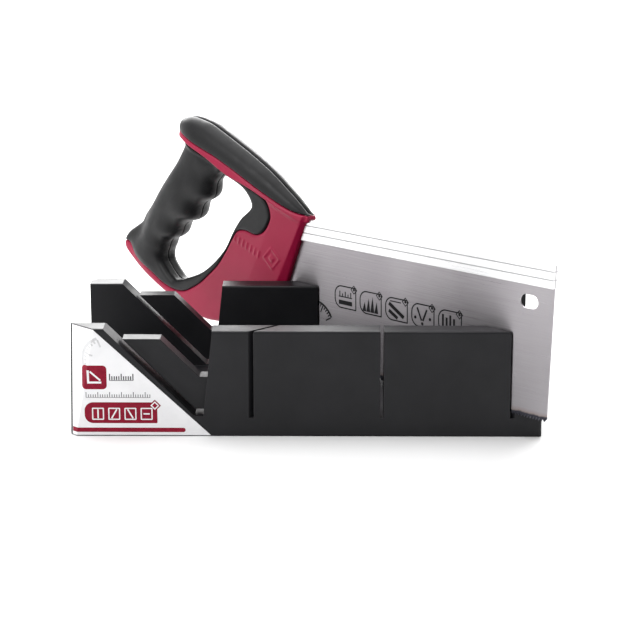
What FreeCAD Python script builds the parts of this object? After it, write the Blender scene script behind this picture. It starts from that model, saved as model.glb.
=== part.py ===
"""Mitre box with its back saw standing in the right-hand 45 degree kerf.

Row frame, in millimetres: X runs along the box (the fence direction), Y from the
near wall to the far wall, Z up.  The origin is the centre of the box's underside.

Pieces of the box:  one plastic moulding and its triangular label.
Pieces of the saw:  steel blade, aluminium back, two handle shells of hard plastic,
soft grip and soft cap halves moulded on those shells, and the pins in the tang.
"""
import FreeCAD
import Part
import math
import os

V = FreeCAD.Vector

# ---------------------------------------------------------------- driving dimensions
BOX_LENGTH = 300.0
BOX_WIDTH = 140.0
BOX_HEIGHT = 70.0          # the two end posts
WALL = 17.3                # each wall, outside to inside
MAIN_TOP = 68.7            # the guide walls, a little under the posts
FLOOR_TOP = 12.0           # channel floor, and the bottom of every kerf
SKIN = 3.0                 # plastic thickness of floor and walls
RIB = 3.0
TOP_ROUND = 1.5            # long top edges of the walls
END_ROUND = 2.0            # upright edges at the right-hand end
NEAR_CHAMFER = 16.5        # corner under the label: cut widest at the top of the post
NEAR_CHAMFER_LOW = 4.0     # and narrow at the bench
FAR_ROUND = 8.0            # upright corner of the far post
ROUND_CHORDS = 8           # flats in a rounded upright corner
PAST = 5.0                 # how far a cutting block reaches past the face it opens

KERF = 2.3                 # width of the three upright kerfs
KERF_ANGLE = 45.0
KERF_MIDDLE = 198.3        # the square kerf, measured from the left-hand end
KERF_SPREAD = 83.0         # where the 45 degree kerfs leave the near face, either side

BEVEL_SUM = 92.3           # X + Z along the post's edge of the bevel kerf
BEVEL_KERF = 2.6
BEVEL_BOTTOM = 13.0
BEVEL_FOOT = 3.4           # height of the flat end of the bevel kerf
POST_TOP = BEVEL_SUM - BOX_HEIGHT
GUIDE_TOP = 62.2           # guide strip beside the bevel kerf
GUIDE_TOP_LENGTH = 24.0
GUIDE_LEDGE = 37.5
GUIDE_TIE = 4.0            # how far the strip runs into the guide wall
GUIDE_RECESS = 5.4         # the strip stands back from the outer face
MAIN_LEFT_LOW = 84.9       # leaning left edge of the guide wall
MAIN_LEFT_HIGH = 91.0

SCREW_SPACING = 150.0      # bench screws through the floor
SCREW_HOLE_R = 2.5
SCREW_HEAD_R = 5.0
SCREW_SINK = 2.5
SCREW_BOSS_R = 8.0

LABEL_THICK = 0.3
LABEL_TOP = 69.5
LABEL_LOW = 0.5
LABEL_END = 1.2            # margin left at the end of the folded part
LABEL_SLOPE_TOP = 16.2     # X of the slope's two ends
LABEL_SLOPE_LOW = 89.6

SAW_TILT = 0.76            # toe stands a little high, in degrees
SAW_LIFT = 15.15           # tooth tips above the bench where the blade leaves the box
BLADE_LENGTH = 300.0
BLADE_THICK = 0.8
BLADE_DEPTH = 101.0
TOE_X = 27.6
TOE_LEAN = 0.053           # forward lean of the toe, mm per mm of height
TOOTH_PITCH = 2.3
TOOTH_DEPTH = 2.0
TOOTH_TIP = 0.62           # tip's place along one pitch
TANG_TOP = 84.0            # where the tang leaves the back
TANG_HEEL = 34.0
HANG_X = 12.3
HANG_Z = 75.3
HANG_LENGTH = 14.3
HANG_WIDTH = 8.8

BACK_LOW = 86.4            # aluminium back: lower edge above the tooth tips
BACK_TALL = 15.0
BACK_HALF = 2.3
BACK_GROOVE = 0.5
BACK_GROOVE_STEP = 5.4
BACK_REAR = -214.0
BACK_OVERLAP = 2.0         # blade stops this far short of the back's rear end

PLATE_HALF = 8.0           # half thickness of the hard plastic plate
FRONT_HALF = 3.2           # and of its thin front edge
FRONT_STEP_HALF = 5.0
FRONT_STEP = 3.0
FRONT_TAPER = 30.0
FRONT_X = -226.8           # front edge carried down to the tooth line
FRONT_LEAN = 0.433
PIN_R = 2.5
PIN_HALF = 5.5
PIN_PLACES = [(-228, 42), (-250, 32), (-222, 72)]

PLATE_LONG = 190.0         # reach of the plate behind its front edge
HANDLE_TALL = 160.0
HANDLE_WIDE = 30.0         # half width that clears every piece of the handle
RIM_STEP = 0.8             # soft rim stands this far out of the plate
HEEL_HALF = 11.0
GRIP_TOP = V(-291, 0, 128)
GRIP_AXIS = V(-0.596, 0, -0.803)
GRIP_ACROSS = V(0.803, 0, -0.596)


# ---------------------------------------------------------------- small helpers
def face_of(points, place):
    """Flat face with straight edges.  place turns a pair of numbers into a point."""
    loop = [place(a, b) for a, b in points]
    return Part.Face(Part.makePolygon(loop + [loop[0]]))


def side_prism(points, y0, y1):
    """Upright outline in X and Z, carried from y0 to y1."""
    return face_of(points, lambda x, z: V(x, y0, z)).extrude(V(0, y1 - y0, 0))


def plan_prism(points, z0, z1):
    """Plan outline in X and Y, carried from z0 to z1."""
    return face_of(points, lambda x, y: V(x, y, z0)).extrude(V(0, 0, z1 - z0))


def smooth_prism(points, half):
    """Closed smooth outline through points in X and Z, half a thickness each side."""
    curve = Part.BSplineCurve()
    curve.interpolate([V(x, -half, z) for x, z in points], PeriodicFlag=True)
    return Part.Face(Part.Wire(curve.toShape())).extrude(V(0, 2 * half, 0))


def rod(x, y, z, direction, radius, length):
    return Part.makeCylinder(radius, length, V(x, y, z), direction)


def fuse(shapes):
    joined = shapes[0].fuse(shapes[1:])
    return joined.removeSplitter()


# ---------------------------------------------------------------- mitre box
def kerf_lines():
    """Each upright kerf as (X on the near face, drift in X per mm of Y)."""
    return [
        (KERF_MIDDLE - KERF_SPREAD, 1.0),
        (KERF_MIDDLE, 0.0),
        (KERF_MIDDLE + KERF_SPREAD, -1.0),
    ]


def kerf_half_x(drift):
    """Half the kerf, measured along X."""
    return KERF / 2 * math.sqrt(1 + drift * drift)


def kerf_cut(start, drift):
    half = kerf_half_x(drift)
    near = start - drift * PAST
    far = start + drift * (BOX_WIDTH + PAST)
    plan = [
        (near - half, -PAST),
        (near + half, -PAST),
        (far + half, BOX_WIDTH + PAST),
        (far - half, BOX_WIDTH + PAST),
    ]
    return plan_prism(plan, FLOOR_TOP, BOX_HEIGHT + PAST)


def rounded_wall(top):
    """Bar as long as the box with the wall's section, its long top edges rounded."""
    r = TOP_ROUND
    c = r * (1 - math.sqrt(0.5))
    corners = [
        Part.LineSegment(V(0, 0, 0), V(0, 0, top - r)).toShape(),
        Part.Arc(V(0, 0, top - r), V(0, c, top - c), V(0, r, top)).toShape(),
        Part.LineSegment(V(0, r, top), V(0, WALL - r, top)).toShape(),
        Part.Arc(V(0, WALL - r, top), V(0, WALL - c, top - c), V(0, WALL, top - r)).toShape(),
        Part.LineSegment(V(0, WALL, top - r), V(0, WALL, 0)).toShape(),
        Part.LineSegment(V(0, WALL, 0), V(0, 0, 0)).toShape(),
    ]
    return Part.Face(Part.Wire(corners)).extrude(V(BOX_LENGTH, 0, 0))


def post_outline():
    foot = BEVEL_SUM - BEVEL_BOTTOM
    return [(0, 0), (0, BOX_HEIGHT), (POST_TOP, BOX_HEIGHT), (foot, BEVEL_BOTTOM), (foot, 0)]


def main_left(z):
    """Leaning left edge of the guide wall."""
    return MAIN_LEFT_LOW + (MAIN_LEFT_HIGH - MAIN_LEFT_LOW) * (z - BEVEL_BOTTOM) / (
        MAIN_TOP - BEVEL_BOTTOM
    )


def main_outline():
    return [
        (main_left(BEVEL_BOTTOM), 0),
        (main_left(BEVEL_BOTTOM), BEVEL_BOTTOM),
        (main_left(MAIN_TOP), MAIN_TOP),
        (BOX_LENGTH, MAIN_TOP),
        (BOX_LENGTH, 0),
    ]


def guide_outline():
    """Strip between the bevel kerf and the guide wall, tied to the wall at its foot."""
    edge = BEVEL_SUM + BEVEL_KERF * math.sqrt(2)
    foot = BEVEL_BOTTOM + BEVEL_FOOT
    top_end = edge - GUIDE_TOP + GUIDE_TOP_LENGTH
    ledge_start = top_end + GUIDE_TOP - GUIDE_LEDGE
    return [
        (edge - foot, foot),
        (edge - GUIDE_TOP, GUIDE_TOP),
        (top_end, GUIDE_TOP),
        (ledge_start, GUIDE_LEDGE),
        (main_left(GUIDE_LEDGE) + GUIDE_TIE, GUIDE_LEDGE),
        (main_left(foot) + GUIDE_TIE, foot),
    ]


def wall_envelope():
    """Near wall without kerfs, its outer face on Y = 0."""
    whole = rounded_wall(BOX_HEIGHT)
    post = whole.common(side_prism(post_outline(), -PAST, WALL + PAST))
    main = rounded_wall(MAIN_TOP).common(side_prism(main_outline(), -PAST, WALL + PAST))
    sill = Part.makeBox(BOX_LENGTH, WALL, BEVEL_BOTTOM)
    guide = side_prism(guide_outline(), GUIDE_RECESS, WALL)
    return fuse([post, main, sill, guide])


def round_corner(radius):
    """Upright corner at the left-hand end, seen in plan: a quarter circle in short flats."""
    turns = [math.pi / 2 * i / ROUND_CHORDS for i in range(ROUND_CHORDS + 1)]
    return [(radius * (1 - math.sin(t)), radius * (1 - math.cos(t))) for t in turns]


def wall_plan(left_corner):
    """Plan of a wall, its right-hand corner rounded and its left-hand corner as given."""
    right = [(BOX_LENGTH - x, y) for x, y in reversed(round_corner(END_ROUND))]
    outline = left_corner + [(0, WALL), (BOX_LENGTH, WALL)] + right
    return plan_prism(outline, -PAST, BOX_HEIGHT + PAST)


def corner_cut(out):
    """Block outside the leaning cut at the near-left corner, moved outward by out."""
    reach = 2 * WALL
    lean = (NEAR_CHAMFER - NEAR_CHAMFER_LOW) / BOX_HEIGHT
    shift = out * math.sqrt(2 + lean * lean)
    low = (NEAR_CHAMFER_LOW - lean * PAST - shift) / 2
    high = (NEAR_CHAMFER + lean * PAST - shift) / 2
    side = [(low, -PAST), (high, BOX_HEIGHT + PAST), (-PAST, BOX_HEIGHT + PAST), (-PAST, -PAST)]
    face = face_of(side, lambda a, z: V(a - reach, a + reach, z))
    return face.extrude(V(2 * reach, -2 * reach, 0))


def segment_core(left, right):
    """Hollow inside one stretch of wall, open at the bottom.

    left and right are (X on the outer face, drift in X per mm of Y)."""
    y0 = SKIN
    y1 = WALL - SKIN
    plan = [
        (left[0] + left[1] * y0, y0),
        (right[0] + right[1] * y0, y0),
        (right[0] + right[1] * y1, y1),
        (left[0] + left[1] * y1, y1),
    ]
    return plan_prism(plan, -PAST, MAIN_TOP - SKIN)


def wall_cores(lines):
    """Hollows between the kerfs of a wall.  lines are its kerfs from left to right."""
    edges = [(MAIN_LEFT_HIGH + SKIN, 0.0)]
    for start, drift in lines:
        web = kerf_half_x(drift) + SKIN
        edges.append((start - web, drift))
        edges.append((start + web, drift))
    edges.append((BOX_LENGTH - SKIN, 0.0))
    pairs = [(edges[i], edges[i + 1]) for i in range(0, len(edges), 2)]
    roomy = [p for p in pairs if p[1][0] - p[0][0] > WALL + SKIN]
    return [segment_core(left, right) for left, right in roomy]


def post_core(corner):
    """Hollow inside the end post."""
    edge = BEVEL_SUM - SKIN * math.sqrt(2)
    side = [
        (SKIN, -PAST),
        (SKIN, BOX_HEIGHT - SKIN),
        (edge - BOX_HEIGHT + SKIN, BOX_HEIGHT - SKIN),
        (edge - BEVEL_BOTTOM, BEVEL_BOTTOM),
        (edge - BEVEL_BOTTOM, -PAST),
    ]
    core = side_prism(side, SKIN, WALL - SKIN)
    inset = corner + SKIN * math.sqrt(2)
    keep = [(inset, 0), (BOX_LENGTH, 0), (BOX_LENGTH, WALL), (inset - WALL, WALL)]
    return core.common(plan_prism(keep, -2 * PAST, BOX_HEIGHT))


def near_wall():
    cores = wall_cores(kerf_lines()) + [post_core(NEAR_CHAMFER)]
    return wall_envelope().common(wall_plan([(0, 0)])).cut([corner_cut(0)] + cores)


def far_wall():
    """The near wall's mirror image in plan, with its own kerf places and corner."""
    lines = [(start + drift * BOX_WIDTH, -drift) for start, drift in kerf_lines()]
    cores = wall_cores(sorted(lines)) + [post_core(FAR_ROUND)]
    wall = wall_envelope().common(wall_plan(round_corner(FAR_ROUND))).cut(cores)
    wall = wall.mirror(V(0, 0, 0), V(0, 1, 0))
    return wall.translated(V(0, BOX_WIDTH, 0))


def floor_plate():
    """Thin floor with ribs below it and bosses for two bench screws."""
    inner = BOX_WIDTH - 2 * WALL
    plate = Part.makeBox(BOX_LENGTH, inner, FLOOR_TOP, V(0, WALL, 0))
    bays_x = 4
    bays_y = 2
    bay_x = (BOX_LENGTH - RIB) / bays_x
    bay_y = (inner - RIB) / bays_y
    pockets = []
    for i in range(bays_x):
        for j in range(bays_y):
            corner = V(RIB + i * bay_x, WALL + RIB + j * bay_y, -PAST)
            tall = FLOOR_TOP - SKIN + PAST
            pockets.append(Part.makeBox(bay_x - RIB, bay_y - RIB, tall, corner))
    plate = plate.cut(pockets)
    up = V(0, 0, 1)
    y = BOX_WIDTH / 2
    for side in (-1, 1):
        x = BOX_LENGTH / 2 + side * SCREW_SPACING / 2
        boss = rod(x, y, 0, up, SCREW_BOSS_R, FLOOR_TOP - SKIN / 2)
        hole = rod(x, y, -PAST, up, SCREW_HOLE_R, FLOOR_TOP + 2 * PAST)
        top = V(x, y, FLOOR_TOP - SCREW_SINK)
        sink = Part.makeCone(SCREW_HOLE_R, SCREW_HEAD_R, SCREW_SINK, top, up)
        plate = plate.fuse(boss).cut([hole, sink])
    return plate


def mitre_box():
    body = fuse([near_wall(), far_wall(), floor_plate()])
    body = body.cut([kerf_cut(start, drift) for start, drift in kerf_lines()])
    return body.translated(V(-BOX_LENGTH / 2, -BOX_WIDTH / 2, 0))


def box_label():
    """Printed triangle on the near face, folded round the leaning corner cut."""
    t = LABEL_THICK
    wide = LABEL_SLOPE_LOW - LABEL_END
    skin = Part.makeBox(wide, WALL + t, BOX_HEIGHT, V(LABEL_END, -t, 0)).cut(corner_cut(t))
    wall = Part.makeBox(BOX_LENGTH, WALL, BOX_HEIGHT).cut(corner_cut(0))
    outline = [
        (0, LABEL_LOW),
        (0, LABEL_TOP),
        (LABEL_SLOPE_TOP, LABEL_TOP),
        (LABEL_SLOPE_LOW, LABEL_LOW),
    ]
    sheet = skin.cut(wall).common(side_prism(outline, -PAST, WALL))
    return sheet.translated(V(-BOX_LENGTH / 2, -BOX_WIDTH / 2, 0))


# ---------------------------------------------------------------- saw, in its own frame
# X runs along the tooth line towards the toe, Y away from the near side, Z up the blade.
# X = 0 is where the blade crosses the box's near face.
def toe(z):
    return TOE_X + TOE_LEAN * z


def front(z):
    """Front edge of the handle."""
    return FRONT_X + FRONT_LEAN * z


def blade_outline():
    """Toothed edge from the heel to the toe, then the toe, the top edge and the tang."""
    heel = TOE_X - BLADE_LENGTH
    teeth = int(BLADE_LENGTH / TOOTH_PITCH)
    edge = []
    for i in range(teeth):
        x = heel + i * TOOTH_PITCH
        edge.append((x, TOOTH_DEPTH))
        edge.append((x + TOOTH_PITCH * TOOTH_TIP, 0))
    rest = [
        (toe(TOOTH_DEPTH), TOOTH_DEPTH),
        (toe(BLADE_DEPTH), BLADE_DEPTH),
        (BACK_REAR + BACK_OVERLAP, BLADE_DEPTH),
        (BACK_REAR + BACK_OVERLAP, TANG_TOP),
        (-236, TANG_TOP - 2),
        (-262, 50),
        (heel - 1, TANG_HEEL),
        (heel - 1, TOOTH_DEPTH + 6),
    ]
    return edge + rest


def hang_hole():
    reach = (HANG_LENGTH - HANG_WIDTH) / 2
    r = HANG_WIDTH / 2
    ends = [rod(HANG_X + s * reach, -PAST, HANG_Z, V(0, 1, 0), r, 2 * PAST) for s in (-1, 1)]
    middle = Part.makeBox(2 * reach, 2 * PAST, HANG_WIDTH, V(HANG_X - reach, -PAST, HANG_Z - r))
    return fuse(ends + [middle])


def saw_blade():
    sheet = side_prism(blade_outline(), -BLADE_THICK / 2, BLADE_THICK / 2)
    holes = [rod(x, -PAST, z, V(0, 1, 0), PIN_R, 2 * PAST) for x, z in PIN_PLACES]
    return sheet.cut(holes + [hang_hole()])


def blade_back():
    """Aluminium bar along the blade's top edge, with two grooves a side."""
    top = BACK_LOW + BACK_TALL
    bar = [(BACK_REAR, BACK_LOW), (BACK_REAR, top), (toe(top), top), (toe(BACK_LOW), BACK_LOW)]
    strip = side_prism(bar, -BACK_HALF, BACK_HALF)
    length = toe(top) - BACK_REAR + 2 * PAST
    cuts = []
    for step in (1, 2):
        z = BACK_LOW + step * BACK_GROOVE_STEP - BACK_GROOVE / 2
        for y in (-BACK_HALF - PAST, BACK_HALF - BACK_GROOVE):
            start = V(BACK_REAR - PAST, y, z)
            cuts.append(Part.makeBox(length, PAST + BACK_GROOVE, BACK_GROOVE, start))
    return strip.cut(cuts)


def core_outline():
    """Hard plastic seen from the side: plate, heel, inner leg and the band at the top."""
    return [
        (front(104), 104),
        (front(30), 30),
        (-218, 24),
        (-250, 18),
        (-284, 14.5),
        (-300, 17),
        (-332, 29),
        (-352, 38),
        (-367, 48),
        (-374, 54),
        (-375.3, 59),
        (-373, 63),
        (-362, 63),
        (-349, 71),
        (-344, 79),
        (-339, 90),
        (-326, 111),
        (-303, 131),
        (-308, 141),
        (-310, 151),
        (-281, 142),
        (-240, 126.3),
        (-195, 106.8),
    ]


def soft_outline():
    """Edge between hard and soft plastic, round the finger opening and thumb rest."""
    return [
        (-290, 130),
        (-262, 129.5),
        (-240, 121),
        (-221.4, 112.7),
        (-214.6, 100.2),
        (-221.7, 88.4),
        (-239.6, 86.7),
        (-251, 82),
        (-261, 68),
        (-279.7, 50),
        (-300, 36),
        (-317.6, 31.7),
        (-339, 39),
        (-360, 52),
        (-345, 62),
        (-318, 88),
        (-300, 110),
    ]


def opening_outline():
    """Finger opening."""
    return [
        (-262, 125),
        (-251, 122),
        (-239, 116),
        (-232.6, 106),
        (-240, 97),
        (-251, 85.5),
        (-266, 65),
        (-285, 49.5),
        (-302, 41),
        (-320, 38),
        (-335, 50),
        (-337.5, 60),
        (-326, 70),
        (-309, 82),
        (-291, 98),
        (-280.5, 109),
        (-275, 119),
    ]


def plate_wedge():
    """Plate thickness: thin at the leaning front edge, full behind it."""
    plan = [
        (0, -FRONT_HALF),
        (-FRONT_STEP, -FRONT_STEP_HALF),
        (-FRONT_TAPER, -PLATE_HALF),
        (-PLATE_LONG, -PLATE_HALF),
        (-PLATE_LONG, PLATE_HALF),
        (-FRONT_TAPER, PLATE_HALF),
        (-FRONT_STEP, FRONT_STEP_HALF),
        (0, FRONT_HALF),
    ]
    foot = face_of(plan, lambda x, y: V(front(0) + x, y, 0))
    return foot.extrude(V(FRONT_LEAN * HANDLE_TALL, 0, HANDLE_TALL))


def cap_plan():
    """Cap seen from above: half widths along the saw."""
    half = [
        (-313, 3),
        (-306.5, 9),
        (-295, 12.5),
        (-280, 13.3),
        (-240, 12),
        (-217, 10.5),
        (-195, 7.5),
        (-180.5, FRONT_HALF),
    ]
    return half + [(x, -y) for x, y in reversed(half)]


def cap_outline():
    """Cap seen from the side."""
    return [
        (-310, 151.5),
        (-281, 142),
        (-240, 126.3),
        (-195, 106.8),
        (-180.5, 103.9),
        (-181.5, 106),
        (-198.5, 117.5),
        (-218, 130.2),
        (-238, 140.5),
        (-258, 149.3),
        (-278, 157),
        (-290, 160.9),
        (-299, 161.6),
        (-308, 159.4),
        (-312.8, 155.5),
    ]


def band_outline():
    """Hard band under the cap, as wide as the cap."""
    return [
        (-310, 151.5),
        (-281, 142),
        (-240, 126.3),
        (-195, 106.8),
        (-217, 111),
        (-240, 121.2),
        (-281, 136.5),
        (-309, 146),
    ]


def grip_stations():
    """Along the grip from its top: distance, rear and front reach, half thickness."""
    return [
        (-8, -17.5, 18, 11.5),
        (8, -17, 19.5, 13.5),
        (25, -20.5, 18.5, 15),
        (42, -22.3, 15, 15),
        (58, -22, 9, 14.5),
        (72, -19.5, 6.5, 14),
        (83, -19, 6, 13.5),
        (95, -24, 9, 13),
        (104, -20, 6, 11.5),
    ]


def heel_outline():
    """Soft heel that joins the grip's foot to the edge of the hard plastic."""
    return [
        (-345, 62),
        (-352, 72),
        (-366, 68),
        (-373.5, 61),
        (-372, 57.5),
        (-359, 51.6),
        (-339, 40),
    ]


def grip_sleeve():
    """Oval sleeve round the inner leg, lofted from the top of the grip to its heel."""
    rings = []
    for along, rear, reach, half in grip_stations():
        centre = GRIP_TOP + GRIP_AXIS * along + GRIP_ACROSS * ((rear + reach) / 2)
        wide = (reach - rear) / 2
        ring = Part.Ellipse()
        ring.MajorRadius = max(wide, half)
        ring.MinorRadius = min(wide, half)
        placed = ring.toShape()
        main_axis = GRIP_ACROSS if wide >= half else V(0, 1, 0)
        second = GRIP_AXIS.cross(main_axis)
        turn = FreeCAD.Rotation(main_axis, second, GRIP_AXIS, "XYZ")
        placed.Placement = FreeCAD.Placement(centre, turn)
        rings.append(Part.Wire(placed))
    return Part.makeLoft(rings, True)


def handle_pieces():
    """Hard core, soft grip and soft cap, each still in one piece."""
    w = HANDLE_WIDE
    opening = smooth_prism(opening_outline(), w)
    soft_zone = smooth_prism(soft_outline(), w)
    core = side_prism(core_outline(), -w, w).common(plate_wedge()).cut(soft_zone)
    cap_width = plan_prism(cap_plan(), 0, HANDLE_TALL + w)
    band = side_prism(band_outline(), -w, w).common(cap_width).cut(soft_zone)
    core = fuse([core, band])
    cap = side_prism(cap_outline(), -w, w).common(cap_width)
    rim = smooth_prism(soft_outline(), PLATE_HALF + RIM_STEP)
    heel = side_prism(heel_outline(), -HEEL_HALF, HEEL_HALF)
    soft = fuse([grip_sleeve(), rim, heel])
    soft = soft.cut([opening, core, cap, side_prism(above_band(), -w, w)])
    return core, soft, cap


def above_band():
    """Everything above the lower edge of the hard band."""
    return [(-312, 147), (-281, 136.5), (-240, 121.2), (-217, 111), (-217, 170), (-312, 170)]


def half_space(side):
    """Box that keeps the near half (-1) or the far half (+1) of the handle."""
    w = HANDLE_WIDE
    near = 0 if side > 0 else -w
    long = 2 * PLATE_LONG
    return Part.makeBox(long, w, HANDLE_TALL + w, V(FRONT_X - PLATE_LONG, near, 0))


def pins():
    return [rod(x, -PIN_HALF, z, V(0, 1, 0), PIN_R, 2 * PIN_HALF) for x, z in PIN_PLACES]


def placed_saw(shape):
    """From the saw's own frame to the row frame."""
    corner = V(KERF_MIDDLE + KERF_SPREAD - BOX_LENGTH / 2, -BOX_WIDTH / 2, SAW_LIFT)
    tilt = FreeCAD.Rotation(V(0, -1, 0), SAW_TILT)
    turn = FreeCAD.Rotation(V(0, 0, 1), -KERF_ANGLE)
    moved = shape.copy()
    moved.Placement = FreeCAD.Placement(corner, turn.multiply(tilt))
    return moved


# ---------------------------------------------------------------- export
def main():
    os.makedirs("parts", exist_ok=True)
    blade = saw_blade()
    back = blade_back().cut(blade)
    core, soft, cap = handle_pieces()
    inserts = [blade, back] + pins()
    core = core.cut(inserts)
    soft = soft.cut(inserts)
    cap = cap.cut(inserts)
    nodes = {"mitre_box": mitre_box(), "box_label": box_label()}
    nodes["saw_blade"] = placed_saw(blade)
    nodes["blade_back"] = placed_saw(back)
    nodes["tang_pins"] = placed_saw(Part.makeCompound(pins()))
    for side, name in ((-1, "left"), (1, "right")):
        keep = half_space(side)
        nodes["handle_shell_" + name] = placed_saw(core.common(keep))
        nodes["soft_grip_" + name] = placed_saw(soft.common(keep))
        nodes["soft_cap_" + name] = placed_saw(cap.common(keep))
    for name, shape in nodes.items():
        shape.exportStep("parts/" + name + ".step")
        print(name, "solids", len(shape.Solids), "valid", shape.isValid(), shape.BoundBox)


main()
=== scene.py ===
"""Looks for the mitre box and back saw.

Sizes are millimetres in two frames.  The box's starts at its front left bottom corner.  The saw's runs
along the tooth line to the toe (x), across the blade (y) and up (z).  from_box and from_saw place
points in the row frame, in metres.
"""
import bpy
import bmesh
import math
import numpy as np
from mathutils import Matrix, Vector


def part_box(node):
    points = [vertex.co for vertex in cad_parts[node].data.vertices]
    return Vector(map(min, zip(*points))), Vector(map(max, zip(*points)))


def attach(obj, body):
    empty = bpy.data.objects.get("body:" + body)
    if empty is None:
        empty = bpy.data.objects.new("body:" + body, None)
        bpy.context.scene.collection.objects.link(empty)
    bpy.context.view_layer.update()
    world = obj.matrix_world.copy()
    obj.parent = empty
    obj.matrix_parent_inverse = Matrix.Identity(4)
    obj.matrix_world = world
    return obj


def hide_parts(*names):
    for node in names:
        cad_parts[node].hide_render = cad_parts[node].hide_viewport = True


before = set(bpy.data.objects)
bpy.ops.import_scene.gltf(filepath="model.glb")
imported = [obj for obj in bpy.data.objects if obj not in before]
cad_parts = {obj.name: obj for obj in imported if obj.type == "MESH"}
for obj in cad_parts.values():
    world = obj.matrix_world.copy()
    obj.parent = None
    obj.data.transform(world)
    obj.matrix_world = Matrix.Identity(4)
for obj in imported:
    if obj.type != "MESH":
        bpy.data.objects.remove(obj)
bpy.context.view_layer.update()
MM = 0.001

# ------------------------------------------------------------------ frames
BOX_LOW, BOX_HIGH = (np.array(c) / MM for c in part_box("mitre_box"))
SAW_TILT = math.radians(0.76)
SAW_LIFT = 15.15
SAW_FROM_RIGHT = 18.7
SAW_ORIGIN = np.array([BOX_HIGH[0] - SAW_FROM_RIGHT, BOX_LOW[1], BOX_LOW[2] + SAW_LIFT])
ALONG = np.array([math.cos(SAW_TILT) / math.sqrt(2), -math.cos(SAW_TILT) / math.sqrt(2), math.sin(SAW_TILT)])
ASIDE = np.array([1, 1, 0]) / math.sqrt(2)
UP = np.cross(ALONG, ASIDE)
SAW_AXES = np.array([ALONG, ASIDE, UP])
SAW_TOE = float(SAW_ORIGIN @ ALONG) + 27.6
BACK_LOW = 86.4
BACK_STEP = 5.4

# In metres: where the painted sheen that lightens the steel towards the toe begins and ends, the heights
# above the tooth line of the heat tint and of the dark hardened teeth under it, and how far the painted
# shade in a groove of the back reaches to either side.
TOE_SHEEN_SPAN = ((SAW_TOE - 70) * MM, (SAW_TOE - 5) * MM)
TINT_FADE = (0.0062, 0.0036)
HARD_FADE = (0.0038, 0.0027)
GROOVE_SHADE_FADE = (0.0005, 0.0002)
# Radians per metre across the rubber's hatching.
HATCH_RATE = 3600.0

RANGE_SOCKETS = ("From Min", "From Max", "To Min", "To Max")


def from_saw(points):
    return (SAW_ORIGIN + np.asarray(points) @ SAW_AXES) * MM


def from_box(points):
    return (BOX_LOW + np.asarray(points)) * MM


# ------------------------------------------------------------------ node materials
class Look:
    """A material with a Principled shader and short calls for the nodes that feed it."""

    def __init__(self, name, colour, roughness, metallic=0.0, specular=0.5):
        self.mat = bpy.data.materials.new(name)
        self.mat.use_nodes = True
        self.tree = self.mat.node_tree
        self.shader = self.tree.nodes["Principled BSDF"]
        self.set("Base Color", (*colour, 1))
        self.set("Roughness", roughness)
        self.set("Metallic", metallic)
        self.set("Specular IOR Level", specular)
        self.place = self.node("ShaderNodeTexCoord").outputs["Object"]

    def set(self, socket, value):
        self.shader.inputs[socket].default_value = value

    def node(self, kind, **values):
        made = self.tree.nodes.new(kind)
        for key, value in values.items():
            setattr(made, key, value)
        return made

    def join(self, source, target):
        self.tree.links.new(source, target)

    def drive(self, socket, source):
        self.join(source, self.shader.inputs[socket])

    def feed(self, socket, target):
        if hasattr(socket, "links"):
            self.join(socket, target)
        else:
            target.default_value = socket

    def along_saw(self, stretch):
        """Object coordinates turned into the saw's directions, then stretched."""
        turn = self.node("ShaderNodeMapping", vector_type="POINT")
        turn.inputs["Rotation"].default_value = (0, 0, math.radians(45))
        scaled = self.node("ShaderNodeVectorMath", operation="MULTIPLY")
        self.join(self.place, turn.inputs["Vector"])
        self.join(turn.outputs["Vector"], scaled.inputs[0])
        scaled.inputs[1].default_value = stretch
        return scaled.outputs["Vector"]

    def noise(self, scale, detail=3.0, roughness=0.55, place=None):
        made = self.node("ShaderNodeTexNoise")
        made.inputs["Scale"].default_value = scale
        made.inputs["Detail"].default_value = detail
        made.inputs["Roughness"].default_value = roughness
        self.join(place or self.place, made.inputs["Vector"])
        return made.outputs["Fac"]

    def span(self, value, low, high, new_low=0.0, new_high=1.0):
        made = self.node("ShaderNodeMapRange")
        self.join(value, made.inputs["Value"])
        for socket, number in zip(RANGE_SOCKETS, (low, high, new_low, new_high)):
            made.inputs[socket].default_value = number
        return made.outputs["Result"]

    def math(self, operation, a, b=0.0):
        made = self.node("ShaderNodeMath", operation=operation)
        self.feed(a, made.inputs[0])
        self.feed(b, made.inputs[1])
        return made.outputs["Value"]

    def dot(self, a, b):
        made = self.node("ShaderNodeVectorMath", operation="DOT_PRODUCT")
        self.feed(a, made.inputs[0])
        self.feed(b, made.inputs[1])
        return made.outputs["Value"]

    def above_teeth(self):
        """Height above the saw's tooth line, in metres."""
        return self.math("SUBTRACT", self.dot(self.place, tuple(UP)), float(SAW_ORIGIN @ UP) * MM)

    def mix(self, factor, a, b):
        made = self.node("ShaderNodeMix", data_type="RGBA")
        self.feed(factor, made.inputs["Factor"])
        for value, socket in ((a, made.inputs[6]), (b, made.inputs[7])):
            self.feed((*value, 1) if isinstance(value, tuple) else value, socket)
        return made.outputs[2]

    def bump(self, height, strength, distance, normal=None):
        made = self.node("ShaderNodeBump")
        made.inputs["Strength"].default_value = strength
        made.inputs["Distance"].default_value = distance
        self.join(height, made.inputs["Height"])
        if normal:
            self.join(normal, made.inputs["Normal"])
        return made.outputs["Normal"]

    def edge(self, radius):
        """Normal that rounds sharp edges, and a mask that is high along them."""
        soft = self.node("ShaderNodeBevel", samples=6)
        soft.inputs["Radius"].default_value = radius
        flat = self.node("ShaderNodeNewGeometry").outputs["True Normal"]
        near = self.dot(soft.outputs["Normal"], flat)
        return soft.outputs["Normal"], self.span(near, 1.0, 0.8)


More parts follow.
